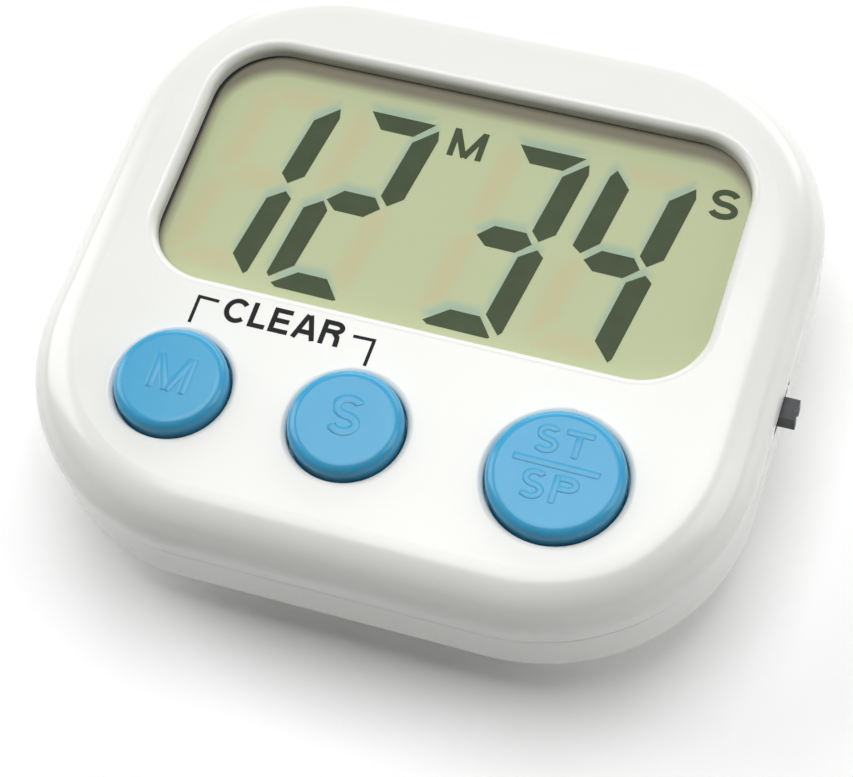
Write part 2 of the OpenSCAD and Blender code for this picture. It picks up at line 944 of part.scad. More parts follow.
module magnet(side) {
    color("dimgray")
        post([side * magnet_at[0], magnet_at[1]], magnet_r, magnet_sunk, magnet_sunk + magnet_t);
}

module case_screws() {
    color("silver")
        for (p = case_screw_at)
            translate([p[0], p[1], case_seat_z])
                screw(case_head, thread_r, case_shank_l);
}

front_cover();
rear_cover();
battery_door();
stand();
button(button_m_x, small_hole_r);  // button_m
button(button_s_x, small_hole_r);  // button_s
button(button_st_x, large_hole_r);  // button_st_sp
dome(button_m_x);  // dome_m
dome(button_s_x);  // dome_s
dome(button_st_x);  // dome_st_sp
circuit_board();
board_screws();
chip_blob();
crystal();
capacitors();
resistors();
switch_body();
switch_knob();
lcd_front_film();
lcd_front_glass();
lcd_rear_glass();
lcd_rear_film();
zebra_strip();
lcd_retainer();
retainer_screws();
piezo_disc();
piezo_ceramic();
buzzer_wire_red();
buzzer_wire_black();
battery_cell();
positive_contact();
negative_contact();
battery_spring();
battery_wire_red();
battery_wire_black();
magnet(-1);  // magnet_left
magnet(1);  // magnet_right
case_screws();
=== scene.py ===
"""Lab timer: finishes, display, legends, floor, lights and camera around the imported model."""

import math

import bmesh
import bpy
import numpy as np
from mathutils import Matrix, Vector


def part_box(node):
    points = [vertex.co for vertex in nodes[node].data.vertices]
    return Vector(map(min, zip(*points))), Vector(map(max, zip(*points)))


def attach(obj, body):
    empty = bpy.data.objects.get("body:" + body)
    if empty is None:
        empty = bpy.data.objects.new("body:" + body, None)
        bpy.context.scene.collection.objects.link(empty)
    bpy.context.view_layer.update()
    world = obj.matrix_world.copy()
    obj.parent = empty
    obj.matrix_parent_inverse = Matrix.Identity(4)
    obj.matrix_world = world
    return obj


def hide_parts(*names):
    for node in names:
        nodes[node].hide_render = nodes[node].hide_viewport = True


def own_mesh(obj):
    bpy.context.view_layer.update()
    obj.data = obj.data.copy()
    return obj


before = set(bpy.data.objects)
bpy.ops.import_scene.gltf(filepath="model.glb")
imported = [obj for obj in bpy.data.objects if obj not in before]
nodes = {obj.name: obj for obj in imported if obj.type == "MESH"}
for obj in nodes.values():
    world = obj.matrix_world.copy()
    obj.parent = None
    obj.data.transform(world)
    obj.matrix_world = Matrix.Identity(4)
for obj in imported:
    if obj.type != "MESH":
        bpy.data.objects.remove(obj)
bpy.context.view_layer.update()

MM = 0.001
scene = bpy.context.scene


# ---------------------------------------------------------------- materials


class Shader:
    """A Principled material with object coordinates ready, in millimetres."""

    def __init__(self, name, base, rough, **values):
        self.mat = bpy.data.materials.new(name)
        self.mat.use_nodes = True
        self.tree = self.mat.node_tree
        self.bsdf = self.tree.nodes["Principled BSDF"]
        self.base, self.rough = base, rough
        self.set(self.bsdf, "Base Color", (*base, 1))
        self.set(self.bsdf, "Roughness", rough)
        for key, value in values.items():
            self.set(self.bsdf, key.replace("_", " "), value)
        coords = self.new("ShaderNodeTexCoord")
        scale = self.new("ShaderNodeVectorMath", operation="SCALE")
        scale.inputs["Scale"].default_value = 1 / MM
        self.link(coords.outputs["Object"], scale.inputs[0])
        self.mm = scale.outputs[0]
        self.height = None

    def new(self, kind, **attrs):
        node = self.tree.nodes.new(kind)
        for key, value in attrs.items():
            setattr(node, key, value)
        return node

    def link(self, a, b):
        self.tree.links.new(a, b)

    def set(self, node, socket, value):
        node.inputs[socket].default_value = value

    def noise(self, scale, detail=2.0, rough=0.5, stretch=None):
        """Noise with scale features per millimetre."""
        node = self.new("ShaderNodeTexNoise")
        self.set(node, "Scale", scale)
        self.set(node, "Detail", detail)
        self.set(node, "Roughness", rough)
        source = self.mm
        if stretch:
            mapping = self.new("ShaderNodeMapping")
            mapping.inputs["Scale"].default_value = stretch
            self.link(self.mm, mapping.inputs["Vector"])
            source = mapping.outputs[0]
        self.link(source, node.inputs["Vector"])
        return node.outputs["Fac"]

    def ramp(self, fac, stops):
        """Colour ramp: stops are (position, value or colour)."""
        node = self.new("ShaderNodeValToRGB")
        elements = node.color_ramp.elements
        while len(elements) < len(stops):
            elements.new(0.5)
        for element, (at, value) in zip(elements, stops):
            element.position = at
            grey = isinstance(value, (int, float))
            element.color = (value, value, value, 1) if grey else (*value, 1)
        self.link(fac, node.inputs["Fac"])
        return node.outputs["Color"]

    def mix(self, fac, a, b):
        """Mix of two colours; each is a socket or a tuple."""
        node = self.new("ShaderNodeMix", data_type="RGBA")
        for socket, value in ((0, fac), (6, a), (7, b)):
            if isinstance(value, bpy.types.NodeSocket):
                self.link(value, node.inputs[socket])
            elif socket == 0:
                node.inputs[0].default_value = value
            else:
                node.inputs[socket].default_value = (*value, 1)
        return node.outputs[2]

    def colour(self, socket):
        """Base colour from a socket."""
        self.link(socket, self.bsdf.inputs["Base Color"])

    def tint(self, fac, spread):
        """Base colour that wanders by a share of itself with a noise."""
        low = tuple(c * (1 - spread) for c in self.base)
        high = tuple(min(1, c * (1 + spread)) for c in self.base)
        self.colour(self.ramp(fac, [(0.3, low), (0.7, high)]))

    def gloss(self, fac, spread):
        """Roughness that wanders by a share of itself with a noise."""
        low, high = self.rough * (1 - spread), self.rough * (1 + spread)
        self.link(self.ramp(fac, [(0.25, low), (0.75, high)]), self.bsdf.inputs["Roughness"])

    def bump(self, fac, depth, strength=1.0):
        """Adds relief; depth is in millimetres."""
        node = self.new("ShaderNodeBump")
        self.set(node, "Strength", strength)
        self.set(node, "Distance", depth * MM)
        self.link(fac, node.inputs["Height"])
        if self.height:
            self.link(self.height, node.inputs["Normal"])
        self.height = node.outputs["Normal"]
        self.link(self.height, self.bsdf.inputs["Normal"])


def white_plastic(name, base, rough, grain):
    """Moulded white ABS: slight tone drift, uneven gloss, fine orange peel."""
    s = Shader(name, base, rough, Specular_IOR_Level=0.5, IOR=1.52)
    s.tint(s.noise(0.05, 3.0), 0.012)
    s.gloss(s.noise(0.2, 2.0), 0.12)
    s.bump(s.noise(0.25, 1.0), 0.006 * grain)
    s.bump(s.noise(1.2, 1.0), 0.0004 * grain)
    return s.mat


def blue_plastic(name):
    """Moulded blue ABS of the buttons."""
    s = Shader(name, (0.055, 0.342, 0.58), 0.21, Specular_IOR_Level=0.35, IOR=1.52)
    s.tint(s.noise(0.12, 3.0), 0.03)
    s.gloss(s.noise(0.4, 2.0), 0.12)
    s.bump(s.noise(0.3, 1.0), 0.005)
    return s.mat


def plain_plastic(name, base, rough, drift=0.05, grain=0.003, scale=6.0):
    """Small moulded or coated pieces: drifting tone and a fine grain."""
    s = Shader(name, base, rough)
    s.tint(s.noise(0.4, 3.0), drift)
    s.gloss(s.noise(1.0, 3.0), 0.2)
    s.bump(s.noise(scale, 3.0), grain)
    return s.mat


def metal(name, base, rough, stretch=(1, 1, 1), grain=0.002):
    """Sheet or turned metal with fine drawn lines along one axis."""
    s = Shader(name, base, rough, Metallic=1.0)
    lines = s.noise(4.0, 4.0, 0.6, stretch)
    s.tint(lines, 0.08)
    s.gloss(s.noise(1.5, 3.0), 0.25)
    s.bump(lines, grain)
    return s.mat


def glass(name, tint):
    """Thin clear glass with a slight tint."""
    s = Shader(name, tint, 0.06, IOR=1.5)
    s.set(s.bsdf, "Transmission Weight", 0.85)
    s.tint(s.noise(0.2), 0.02)
    s.gloss(s.noise(0.5), 0.2)
    return s.mat


def board_mask(name):
    """Green solder mask with copper tracks showing darker beneath it."""
    s = Shader(name, (0.02, 0.16, 0.055), 0.46)
    tracks = s.new("ShaderNodeTexBrick")
    s.set(tracks, "Scale", 0.35)
    s.set(tracks, "Mortar Size", 0.06)
    s.set(tracks, "Brick Width", 1.7)
    s.set(tracks, "Row Height", 0.5)
    s.link(s.mm, tracks.inputs["Vector"])
    mask = s.ramp(tracks.outputs["Fac"], [(0.4, 0.0), (0.6, 1.0)])
    s.colour(s.mix(mask, (0.018, 0.15, 0.05), (0.04, 0.24, 0.085)))
    s.bump(mask, 0.02)
    s.gloss(s.noise(0.5, 3.0), 0.2)
    return s.mat


def zebra(name):
    """Silicone strip with the fine dark conducting layers of a zebra strip."""
    s = Shader(name, (0.5, 0.3, 0.38), 0.6)
    wave = s.new("ShaderNodeTexWave", wave_type="BANDS", bands_direction="X")
    s.set(wave, "Scale", 1.6)
    s.link(s.mm, wave.inputs["Vector"])
    s.colour(s.mix(wave.outputs["Fac"], (0.55, 0.33, 0.42), (0.03, 0.025, 0.03)))
    s.bump(wave.outputs["Fac"], 0.01)
    return s.mat


def cell_sleeve(name):
    """Printed battery sleeve: dark body, coppery end band, bare steel ends."""
    s = Shader(name, (0.03, 0.032, 0.036), 0.46, Metallic=0.5)
    split = s.new("ShaderNodeSeparateXYZ")
    s.link(s.mm, split.inputs[0])
    low, high = (v.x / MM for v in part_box("battery_cell"))
    across = s.new("ShaderNodeMapRange")
    s.set(across, "From Min", low)
    s.set(across, "From Max", high)
    s.link(split.outputs["X"], across.inputs["Value"])
    steel, dark, copper = (0.5, 0.5, 0.49), (0.03, 0.032, 0.036), (0.62, 0.34, 0.16)
    stops = [(0.0, steel), (0.03, dark), (0.7, copper), (0.955, steel)]
    bands = s.ramp(across.outputs[0], stops)
    bands.node.color_ramp.interpolation = "CONSTANT"
    s.colour(bands)
    s.gloss(s.noise(0.8, 3.0), 0.25)
    s.bump(s.noise(3.0, 3.0), 0.003)
    return s.mat


WHITE = white_plastic("white_abs", (0.768, 0.772, 0.742), 0.2, 1.0)
BACK = white_plastic("white_abs_back", (0.755, 0.76, 0.73), 0.2, 1.5)
BLUE = blue_plastic("blue_abs")
DARK = plain_plastic("dark_grey_abs", (0.03, 0.033, 0.035), 0.46, 0.1, 0.004, 2.0)
STEEL = metal("screw_steel", (0.56, 0.56, 0.57), 0.3, (1, 1, 1), 0.003)
NICKEL = metal("nickel_sheet", (0.68, 0.66, 0.62), 0.28, (1, 8, 1))
BRASS = metal("brass_sheet", (0.75, 0.55, 0.25), 0.32, (8, 1, 1))
EPOXY = plain_plastic("black_epoxy", (0.015, 0.015, 0.017), 0.2, 0.1, 0.02, 0.8)
RED = plain_plastic("red_wire", (0.45, 0.02, 0.02), 0.4)
BLACK = plain_plastic("black_wire", (0.015, 0.015, 0.016), 0.4)

FINISHES = {
    WHITE: ["front_cover"],
    BACK: ["rear_cover", "battery_door", "stand"],
    BLUE: ["button_m", "button_s", "button_st_sp"],
    DARK: ["switch_knob"],
    STEEL: ["case_screws", "board_screws", "retainer_screws"],
    NICKEL: ["positive_contact", "negative_contact", "battery_spring"],
    BRASS: ["piezo_disc"],
    EPOXY: ["chip_blob", "resistors"],
    RED: ["buzzer_wire_red", "battery_wire_red"],
    BLACK: ["buzzer_wire_black", "battery_wire_black"],
    plain_plastic("silicone", (0.6, 0.6, 0.58), 0.6, 0.03): ["dome_m", "dome_s", "dome_st_sp"],
    plain_plastic("inner_abs", (0.78, 0.78, 0.76), 0.4, 0.02): ["lcd_retainer"],
    plain_plastic("ceramic_tan", (0.5, 0.36, 0.2), 0.5): ["capacitors"],
    plain_plastic("white_ceramic", (0.8, 0.79, 0.74), 0.5): ["piezo_ceramic"],
    plain_plastic("switch_housing", (0.16, 0.16, 0.17), 0.4): ["switch_body"],
    plain_plastic("reflector", (0.55, 0.58, 0.46), 0.35, 0.02): ["lcd_rear_film"],
    metal("can_metal", (0.72, 0.72, 0.72), 0.25, (1, 6, 6)): ["crystal"],
    metal("magnet", (0.2, 0.2, 0.21), 0.36, (1, 1, 1), 0.006): ["magnet_left", "magnet_right"],
    glass("lcd_glass", (0.8, 0.86, 0.83)): ["lcd_front_glass", "lcd_rear_glass"],
    board_mask("board"): ["circuit_board"],
    zebra("zebra_rubber"): ["zebra_strip"],
    cell_sleeve("cell_can"): ["battery_cell"],
}
for material, names in FINISHES.items():
    for name in names:
        mesh = nodes[name].data
        mesh.materials.clear()
        mesh.materials.append(material)


# ---------------------------------------------------------------- building

# least cosine that a corner's width is divided by, so that sharp corners don't spike
MITRE_LEAST = 0.35
# share of its height that a tapered stroke has at its end, half-way along the taper and after it
TAPER_LIFTS = [0.4, 0.85, 1.0]
# height between one stroke of a letter and the next
STROKE_STEP = 0.003


def make_piece(name, mesh_or_bm, material, body):
    """Adds a mesh as a piece of the object that rides on a body."""
    if isinstance(mesh_or_bm, bmesh.types.BMesh):
        mesh = bpy.data.meshes.new(name)
        bmesh.ops.recalc_face_normals(mesh_or_bm, faces=mesh_or_bm.faces)
        mesh_or_bm.to_mesh(mesh)
        mesh_or_bm.free()
    else:
        mesh = mesh_or_bm
    mesh.materials.append(material)
    obj = bpy.data.objects.new(name, mesh)
    scene.collection.objects.link(obj)
    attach(obj, body)
    return obj


def add_plate(bm, outline, z, thick):
    """A flat plate from a list of (x, y) in mm."""
    low = [bm.verts.new((x * MM, y * MM, z * MM)) for x, y in outline]
    high = [bm.verts.new((x * MM, y * MM, (z + thick) * MM)) for x, y in outline]
    bm.faces.new(list(reversed(low)))
    bm.faces.new(high)
    count = len(outline)
    for i in range(count):
        j = (i + 1) % count
        bm.faces.new((low[i], low[j], high[j], high[i]))


def stroke_ring(bm, centre, side, z, profile, lift):
    """One cross-section of a stroke. A low lift pulls its crest down to the ground."""
    ground = profile[0][1]
    return [
        bm.verts.new(((centre.x + side.x * s) * MM, (centre.y + side.y * s) * MM,
                      (z + ground + (h - ground) * lift) * MM))
        for s, h in profile
    ]


def add_stroke(bm, path, half_w, z, profile, taper=0.0):
    """A stroke along (x, y) points in mm. The profile is (share of the half width, height) in order
    from one side to the other. A taper is the length in which each end rises from the ground."""
    points = [Vector(p) for p, before in zip(path, [None] + path[:-1]) if p != before]
    lifts = [1.0] * len(points)
    if taper:
        first, last = points[0], points[-1]
        inner_a = first + (points[1] - first).normalized() * taper
        inner_b = last + (points[-2] - last).normalized() * taper
        kept = [p for p in points if (p - first).length > taper and (p - last).length > taper]
        points = [first, first.lerp(inner_a, 0.5), inner_a] + kept
        points += [inner_b, last.lerp(inner_b, 0.5), last]
        lifts = TAPER_LIFTS + [1.0] * len(kept) + TAPER_LIFTS[::-1]
    rings = []
    for i, p in enumerate(points):
        ahead = points[min(i + 1, len(points) - 1)] - p
        behind = p - points[max(i - 1, 0)]
        a = behind.normalized() if i > 0 else ahead.normalized()
        b = ahead.normalized() if i < len(points) - 1 else a
        normal = Vector((-(a.y + b.y), a.x + b.x))
        normal.normalize()
        cosine = max(MITRE_LEAST, normal.dot(Vector((-a.y, a.x))))
        rings.append(stroke_ring(bm, p, normal * (half_w / cosine), z, profile, lifts[i]))
    for r, q in zip(rings, rings[1:]):
        for k in range(len(profile)):
            m = (k + 1) % len(profile)
            bm.faces.new((r[k], r[m], q[m], q[k]))
    bm.faces.new(list(reversed(rings[0])))
    bm.faces.new(rings[-1])


def arc(cx, cy, rx, ry, start, end, steps=14):
    """Points along an arc of an ellipse, between two angles in degrees."""
    return [
        (cx + rx * math.cos(math.radians(start + (end - start) * i / steps)),
         cy + ry * math.sin(math.radians(start + (end - start) * i / steps)))
        for i in range(steps + 1)
    ]


def letter(name, s):
    """Centre lines of a plain sans capital of height 1 and stroke width s, and its width."""
    h = s / 2
    top, mid = 1 - h, 0.5
    if name == "C":
        return [arc(0.45, mid, 0.45 - h, mid - h, 42, 318, 32)], 0.84
    if name == "L":
        return [[(h, 1), (h, h), (0.64, h)]], 0.66
    if name == "E":
        return [[(0.7, top), (h, top), (h, h), (0.72, h)], [(h, mid + 0.01), (0.66, mid + 0.01)]], 0.74
    if name == "A":
        w = 0.82
        foot = h * 0.9
        return [[(foot, 0), (0.38, 1)], [(0.44, 1), (w - foot, 0)], [(0.19, 0.3), (0.63, 0.3)]], w
    if name == "R":
        bowl = [(h, top), (0.45, top)] + arc(0.45, 0.735, 0.27 - h / 2, 0.265 - h, 90, -90, 12)
        bowl += [(h, 0.47 + h)]
        leg = [(0.42, 0.47 + h), (0.53, 0.45), (0.59, 0.38), (0.61, 0.26), (0.62, 0)]
        return [[(h, 0), (h, 1)], bowl, leg], 0.76
    if name == "P":
        bowl = [(h, top), (0.42, top)] + arc(0.42, 0.715, 0.29 - h / 2, 0.285 - h, 90, -90, 12)
        bowl += [(h, 0.43 + h)]
        return [[(h, 0), (h, 1)], bowl], 0.72
    if name == "T":
        return [[(0, top), (0.7, top)], [(0.35, top), (0.35, 0)]], 0.7
    if name == "M":
        w = 0.94
        return [[(h, 0), (h, 1)], [(w - h, 0), (w - h, 1)],
                [(h, 0.97), (w / 2, 0.02)], [(w / 2, 0.02), (w - h, 0.97)]], w
    if name == "S":
        rx, ry = 0.36 - h, (1 - 2 * h) / 4
        upper = arc(0.37, top - ry, rx, ry, 22, 262, 22)
        lower = arc(0.37, h + ry, rx * 1.05, ry, 82, -160, 22)
        return [upper + lower], 0.74
    raise ValueError(name)


def add_letter(bm, name, left, bottom, width, height, stroke, z, profile, taper=0.0):
    """A capital fitted into a box, in mm. Its stroke stays as wide as asked, and each stroke lies a
    hair above the last, so that no two faces share a plane."""
    paths, natural = letter(name, stroke / height)
    kx = width / natural
    for i, path in enumerate(paths):
        points = [(left + x * kx, bottom + y * height) for x, y in path]
        add_stroke(bm, points, stroke / 2, z + STROKE_STEP * i, profile, taper)


# ---------------------------------------------------------------- domes

for key, joint in (("m", "m_press"), ("s", "s_press"), ("st_sp", "start_stop_press")):
    node = "dome_" + key
    low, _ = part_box(node)
    dome = bpy.data.objects.new("silicone_" + node, nodes[node].data.copy())
    scene.collection.objects.link(dome)
    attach(dome, "timer_case")
    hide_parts(node)
    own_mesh(dome)


# ---------------------------------------------------------------- display

FILM_LOW, FILM_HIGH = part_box("lcd_front_film")
LCD_Z = FILM_HIGH.z / MM
LCD_TILT = math.radians(-0.7)
DIGIT_CENTRE_Y = 6.43
# sideways lean of the digits for each millimetre of height
SLANT = 0.144
# x of each digit's right side at mid height
DIGIT_RIGHT = {"first": -15.9, "second": -5.6, "third": 9.75, "fourth": 20.4}

# outlines of the seven segments of an upright digit, from its right side at mid height
SIDE_LEFT, SIDE_RIGHT = -8.4, 0.3
INNER_LEFT, INNER_RIGHT = -6.05, -2.0
TOP, INNER_TOP = 10.65, 8.75
BOTTOM, INNER_BOTTOM = -10.9, -8.8
BAR_HIGH, BAR_LOW = 1.1, -1.3
SEGMENTS = {
    "a": [(-7.4, TOP), (-0.7, TOP), (-2.25, INNER_TOP), (-5.6, INNER_TOP)],
    "b": [(-0.15, 10.05), (SIDE_RIGHT, 8.95), (SIDE_RIGHT, 1.6), (-0.9, 0.45),
          (INNER_RIGHT, 1.45), (INNER_RIGHT, 8.1)],
    "c": [(-0.6, -0.45), (SIDE_RIGHT, -1.15), (SIDE_RIGHT, -9.95), (0.05, -10.35),
          (INNER_RIGHT, -8.45), (INNER_RIGHT, -1.65)],
    "d": [(-7.3, -10.55), (-5.35, INNER_BOTTOM), (-2.4, INNER_BOTTOM), (-0.55, -10.75),
          (-0.75, BOTTOM), (-6.7, BOTTOM)],
    "e": [(-6.95, -0.5), (INNER_LEFT, -1.5), (INNER_LEFT, -8.2), (-7.8, -9.95),
          (-8.2, -9.6), (SIDE_LEFT, -1.75)],
    "f": [(-8.0, 10.15), (INNER_LEFT, 8.3), (INNER_LEFT, 1.8), (-7.35, 0.3),
          (SIDE_LEFT, 0.95), (SIDE_LEFT, 9.3)],
    "g": [(-6.75, -0.3), (-5.55, BAR_HIGH), (-2.4, BAR_HIGH), (-1.35, 0.0),
          (-2.5, BAR_LOW), (-5.45, BAR_LOW)],
}
LIT = {"first": "bc", "second": "abged", "third": "abgcd", "fourth": "fgbc"}

# painted shadows of the lit segments, and the idle segments: how far each stands from its segment, and
# how soft its edge is
SEGMENT_SHADOW_SHIFT, SEGMENT_SHADOW_BLUR = (-0.3, 0.85), 0.4
IDLE_SHIFT, IDLE_BLUR = (-0.15, 0.4), 0.5

# painted shade of the window's rim on the display: a wide band of painted shadow and reflection of the
# rim's wall, and a thin painted dark line at the very edge, where the gap lies in shade
WINDOW = {"centre": (0, 7.8), "half": (27.4, 13.65), "radius": 6.5}
RIM_SHADOW_SHIFT, RIM_SHADOW_BLUR, RIM_SHADOW_SHARE = (0.75, -1.9), 0.6, 0.7
GAP_SHADE_SHIFT, GAP_SHADE_BLUR, GAP_SHADE_SHARE = (0.45, -0.08), 0.15, 0.3

# spacing of the points of the display's face
FACE_PITCH = 0.22


def on_display(x, y):
    """Display coordinates turned by the small tilt of the display, in mm."""
    dx, dy = x, y - DIGIT_CENTRE_Y
    c, s = math.cos(LCD_TILT), math.sin(LCD_TILT)
    return (dx * c - dy * s, DIGIT_CENTRE_Y + dx * s + dy * c)


def segment_outline(digit, key):
    """Outline of one segment of a digit where it lies on the display, in mm."""
    right = DIGIT_RIGHT[digit]
    return [on_display(u + right + SLANT * v, v + DIGIT_CENTRE_Y) for u, v in SEGMENTS[key]]


def outline_distance(px, py, outline):
    """Signed distance to a convex outline, negative inside, for arrays of points."""
    pts = np.array(outline)
    area = np.sum(pts[:, 0] * np.roll(pts[:, 1], -1) - np.roll(pts[:, 0], -1) * pts[:, 1])
    if area < 0:
        pts = pts[::-1]
    inside = np.full(px.shape, -np.inf)
    nearest = np.full(px.shape, np.inf)
    for a, b in zip(pts, np.roll(pts, -1, 0)):
        d = b - a
        length = math.hypot(*d)
        ex, ey = px - a[0], py - a[1]
        inside = np.maximum(inside, (ex * d[1] - ey * d[0]) / length)
        t = np.clip((ex * d[0] + ey * d[1]) / length**2, 0, 1)
        nearest = np.minimum(nearest, np.hypot(ex - t * d[0], ey - t * d[1]))
    return np.where(inside > 0, nearest, -nearest)


def rounded_box_distance(px, py, centre, half, radius):
    """Signed distance to a rounded rectangle, negative inside, for arrays of points."""
    qx = np.abs(px - centre[0]) - (half[0] - radius)
    qy = np.abs(py - centre[1]) - (half[1] - radius)
    corner = np.hypot(np.maximum(qx, 0), np.maximum(qy, 0))
    return corner + np.minimum(np.maximum(qx, qy), 0) - radius


def soft(distance, blur):
    """1 inside and 0 outside, with a ramp as wide as the blur on each side."""
    return np.clip(0.5 - distance / (2 * blur), 0, 1)


def display_plate():
    """The display's face. Its point colours hold the painted shadows of the lit segments in red, the
    idle segments in green and the painted shade of the rim in blue."""
    x0, x1 = FILM_LOW.x / MM, FILM_HIGH.x / MM
    y0, y1 = FILM_LOW.y / MM, FILM_HIGH.y / MM
    nx, ny = round((x1 - x0) / FACE_PITCH), round((y1 - y0) / FACE_PITCH)
    gx, gy = np.meshgrid(np.linspace(x0, x1, nx + 1), np.linspace(y0, y1, ny + 1))
    shadow, idle = np.zeros(gx.shape), np.zeros(gx.shape)
    for digit in DIGIT_RIGHT:
        for key in SEGMENTS:
            outline = segment_outline(digit, key)
            if key in LIT[digit]:
                # painted shadow of a lit segment on the reflector beneath it, shifted off the segment
                near = outline_distance(gx - SEGMENT_SHADOW_SHIFT[0], gy - SEGMENT_SHADOW_SHIFT[1], outline)
                shadow = np.maximum(shadow, soft(near, SEGMENT_SHADOW_BLUR))
            else:
                near = outline_distance(gx - IDLE_SHIFT[0], gy - IDLE_SHIFT[1], outline)
                idle = np.maximum(idle, soft(near, IDLE_BLUR))
    # painted shade of the rim: a wide band of painted shadow and reflection of its wall, and a thin
    # painted dark line in the gap at its edge
    band = rounded_box_distance(gx - RIM_SHADOW_SHIFT[0], gy - RIM_SHADOW_SHIFT[1], **WINDOW)
    edge = rounded_box_distance(gx - GAP_SHADE_SHIFT[0], gy - GAP_SHADE_SHIFT[1], **WINDOW)
    painted_rim_shade = RIM_SHADOW_SHARE * soft(-band, RIM_SHADOW_BLUR) + GAP_SHADE_SHARE * soft(-edge, GAP_SHADE_BLUR)
    bm = bmesh.new()
    top = [
        [bm.verts.new((x * MM, y * MM, LCD_Z * MM)) for x, y in zip(row_x, row_y)]
        for row_x, row_y in zip(gx, gy)
    ]
    for j in range(ny):
        for i in range(nx):
            bm.faces.new((top[j][i], top[j][i + 1], top[j + 1][i + 1], top[j + 1][i]))
    rim = top[0] + [row[-1] for row in top[1:]] + top[-1][-2::-1] + [row[0] for row in top[-2:0:-1]]
    low = [bm.verts.new((v.co.x, v.co.y, FILM_LOW.z)) for v in rim]
    for i in range(len(rim)):
        j = (i + 1) % len(rim)
        bm.faces.new((low[i], low[j], rim[j], rim[i]))
    bm.faces.new(list(reversed(low)))
    mesh = bpy.data.meshes.new("lcd_face")
    bm.to_mesh(mesh)
    bm.free()
    marks = mesh.color_attributes.new("painted_shadows_and_idle", "FLOAT_COLOR", "POINT")
    values = np.zeros((len(mesh.vertices), 4), np.float32)
    count = shadow.size
    for channel, field in enumerate((shadow, idle, painted_rim_shade)):
        values[:count, channel] = field.ravel()
    values[:, 3] = 1
    marks.data.foreach_set("color", values.ravel())
    return mesh


def display_material():
    """Grey-green display face, with the painted segment shadows, the idle segments and the painted rim
    shade from its point colours.
    """
    s = Shader("lcd_face", (0.45, 0.5, 0.3), 0.44, Specular_IOR_Level=0.12)
    drift = s.noise(0.045, 2.0)
    base = s.mix(drift, (0.458, 0.491, 0.298), (0.44, 0.502, 0.304))
    marks = s.new("ShaderNodeAttribute", attribute_name="painted_shadows_and_idle")
    split = s.new("ShaderNodeSeparateColor")
    s.link(marks.outputs["Color"], split.inputs[0])
    idle = s.mix(split.outputs["Green"], base, (0.475, 0.463, 0.277))
    # painted shadows of the lit segments, cast on the reflector beneath them
    segment_shadowed = s.mix(split.outputs["Red"], idle, (0.33, 0.43, 0.318))
    # the blue point colour carries painted shade: its low part a wide band of painted shadow and
    # reflection of the rim's wall
    band = s.ramp(split.outputs["Blue"], [(0.0, 0.0), (0.7, 1.0)])
    # its top part a thin painted dark line, standing in for the shaded gap at the window's edge
    edge = s.ramp(split.outputs["Blue"], [(0.75, 0.0), (1.0, 1.0)])
    # colour of the painted shadow and reflection of the rim's wall
    rim_shadowed = s.mix(band, segment_shadowed, (0.205, 0.19, 0.14))
    # colour of the painted dark line in the gap
    s.colour(s.mix(edge, rim_shadowed, (0.02, 0.024, 0.022)))
    s.gloss(s.noise(0.3, 3.0), 0.15)
    s.bump(s.noise(0.12, 1.0), 0.01)
    return s.mat


def ink(name, base, rough, specular):
    """Dark printed or lit areas: nearly even, with little gloss."""
    s = Shader(name, base, rough, Specular_IOR_Level=specular)
    s.tint(s.noise(0.5, 3.0), 0.08)
    s.gloss(s.noise(1.5, 3.0), 0.15)
    s.bump(s.noise(0.6, 1.0), 0.0008)
    return s.mat


SEGMENT_INK = ink("lcd_segment", (0.055, 0.076, 0.040), 0.44, 0.12)
face = make_piece("lcd_face", display_plate(), display_material(), "timer_case")
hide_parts("lcd_front_film")

# printed and lit marks lie a hair above their ground
MARK_GAP = 0.002
MARK_T = 0.012
MARK_Z = LCD_Z + MARK_GAP
FLAT = [(-1, 0), (-1, MARK_T), (1, MARK_T), (1, 0)]
for digit, keys in LIT.items():
    bm = bmesh.new()
    for key in keys:
        add_plate(bm, segment_outline(digit, key), MARK_Z, MARK_T)
    make_piece(f"lcd_digit_{digit}", bm, SEGMENT_INK, "timer_case")
bm = bmesh.new()
# each letter: name, left side, lower edge, width, height, stroke
for mark in (("M", -2.75, 14.1, 3.6, 3.25, 0.62), ("S", 23.4, 13.5, 2.95, 3.4, 0.66)):
    add_letter(bm, *mark, MARK_Z, FLAT)
make_piece("lcd_unit_marks", bm, SEGMENT_INK, "timer_case")


# ---------------------------------------------------------------- print and legends

PRINT_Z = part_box("front_cover")[1].z / MM + MARK_GAP
PRINT_INK = ink("black_print", (0.008, 0.008, 0.009), 0.42, 0.15)
CLEAR_LEFT, CLEAR_LOW = -17.2, -9.95
CLEAR_HEIGHT, CLEAR_STROKE, CLEAR_GAP = 2.65, 0.5, 0.3
CLEAR_WIDTHS = {"C": 2.35, "L": 1.75, "E": 2.0, "A": 2.4, "R": 2.15}
BRACKET_HALF_W = 0.17
BRACKETS = [
    [(-19.96, -10.95), (-19.96, -8.05), (-17.95, -8.1)],
    [(-4.4, -8.4), (-2.33, -8.35), (-2.38, -11.15)],
]
bm = bmesh.new()
left = CLEAR_LEFT
for name, width in CLEAR_WIDTHS.items():
    add_letter(bm, name, left, CLEAR_LOW, width, CLEAR_HEIGHT, CLEAR_STROKE, PRINT_Z, FLAT)
    left += width + CLEAR_GAP
for bracket in BRACKETS:
    add_stroke(bm, bracket, BRACKET_HALF_W, PRINT_Z, FLAT)
make_piece("clear_print", bm, PRINT_INK, "timer_case")

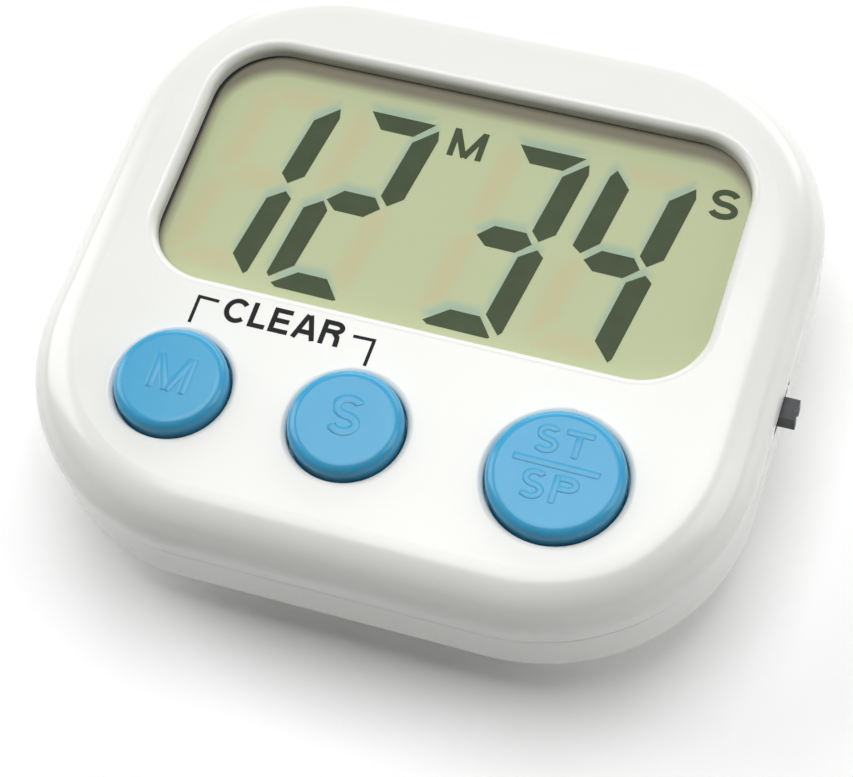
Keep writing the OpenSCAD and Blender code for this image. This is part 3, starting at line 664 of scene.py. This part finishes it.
# section of a raised stroke, which rises gently from the button's top
RAISED = [(-1.1, -0.08), (-0.95, 0.004), (-0.8, 0.03), (-0.55, 0.052), (-0.25, 0.06),
          (0.25, 0.06), (0.55, 0.052), (0.8, 0.03), (0.95, 0.004), (1.1, -0.08)]
LETTER_TAPER = 0.3
BAR_HALF_W, BAR_TAPER = 0.4, 0.4
# each body: its button's key, its letters as above, and its bars, all from the button's centre
LEGENDS = {
    "m_button": ("m", [("M", -2.05, -1.6, 4.25, 4.0, 0.9)], []),
    "s_button": ("s", [("S", -1.65, -1.75, 3.3, 4.4, 1.0)], []),
    "start_stop_button": (
        "st_sp",
        [("S", -2.8, 1.4, 2.4, 3.05, 0.72), ("T", -0.2, 1.45, 2.85, 2.95, 0.72),
         ("S", -2.8, -3.3, 2.4, 3.15, 0.72), ("P", 0.05, -3.3, 2.4, 3.1, 0.72)],
        [[(-4.3, 0.55), (4.1, 0.48)]],
    ),
}


def button_top(key):
    """Centre of a button's top, in mm. The button isn't alike on both sides in Y, so that its Y
    comes from the dome under it."""
    low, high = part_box("button_" + key)
    dome_low, dome_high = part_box("dome_" + key)
    return (low.x + high.x) / 2 / MM, (dome_low.y + dome_high.y) / 2 / MM, high.z / MM


for body, (key, letters, bars) in LEGENDS.items():
    x, y, z = button_top(key)
    bm = bmesh.new()
    for name, left, low, *size in letters:
        add_letter(bm, name, x + left, y + low, *size, z, RAISED, LETTER_TAPER)
    for bar in bars:
        add_stroke(bm, [(x + dx, y + dy) for dx, dy in bar], BAR_HALF_W, z, RAISED, BAR_TAPER)
    legend = make_piece("legend_" + key, bm, BLUE, body)
    for polygon in legend.data.polygons:
        polygon.use_smooth = True


# ---------------------------------------------------------------- floor, lights, camera


def floor_material():
    """Pale matt floor. A little light of its own keeps it white far from the object."""
    s = Shader("floor", (0.93, 0.93, 0.93), 0.6, Specular_IOR_Level=0.2)
    s.set(s.bsdf, "Emission Color", (1, 1, 1, 1))
    s.set(s.bsdf, "Emission Strength", 0.07)
    s.tint(s.noise(0.02, 3.0), 0.004)
    s.gloss(s.noise(0.2, 3.0), 0.1)
    s.bump(s.noise(2.0, 4.0), 0.01)
    return s.mat


FLOOR_SIZE = 6.0
WORLD_STRENGTH = 0.01
# each light: position, size and power
LIGHTS = {
    "top": ((0.0, 0.14, 0.8), (0.6, 0.6), 4.9),
    "back": ((0.0, 0.75, 0.25), (1.0, 0.3), 3.0),
    "left": ((-0.65, 0.15, 0.4), (0.4, 0.6), 3.0),
    "right": ((0.65, 0.15, 0.4), (0.4, 0.6), 1.75),
}
LIGHTS_AIM = Vector((0, 0, 0.01))
# place of the camera, and its turns about X, Y and Z in degrees
CAMERA_AT = (0.0565, -0.1098, 0.2185)
CAMERA_TURNS = (28.61, 5.64, 18.02)

bpy.ops.mesh.primitive_plane_add(size=FLOOR_SIZE, location=(0, 0, 0))
floor = bpy.context.object
floor.name = "floor"
floor.data.materials.append(floor_material())

world = bpy.data.worlds.new("studio")
scene.world = world
world.use_nodes = True
background = world.node_tree.nodes["Background"]
background.inputs["Color"].default_value = (1.0, 1.0, 1.0, 1)
background.inputs["Strength"].default_value = WORLD_STRENGTH


def softbox(name, position, size, power):
    """A rectangular studio light that faces the object."""
    light = bpy.data.lights.new(name, "AREA")
    light.shape = "RECTANGLE"
    light.size, light.size_y = size
    light.energy = power
    obj = bpy.data.objects.new(name, light)
    scene.collection.objects.link(obj)
    obj.location = position
    obj.rotation_mode = "QUATERNION"
    obj.rotation_quaternion = (Vector(position) - LIGHTS_AIM).to_track_quat("Z", "Y")


for name, (position, size, power) in LIGHTS.items():
    softbox(name, position, size, power)

camera = bpy.data.cameras.new("camera")
camera.sensor_width = 36.0
camera.lens = 105.2
camera_obj = bpy.data.objects.new("camera", camera)
scene.collection.objects.link(camera_obj)
camera_obj.location = CAMERA_AT
camera_obj.rotation_euler = [math.radians(turn) for turn in CAMERA_TURNS]
scene.camera = camera_obj
scene.view_settings.view_transform = "Standard"
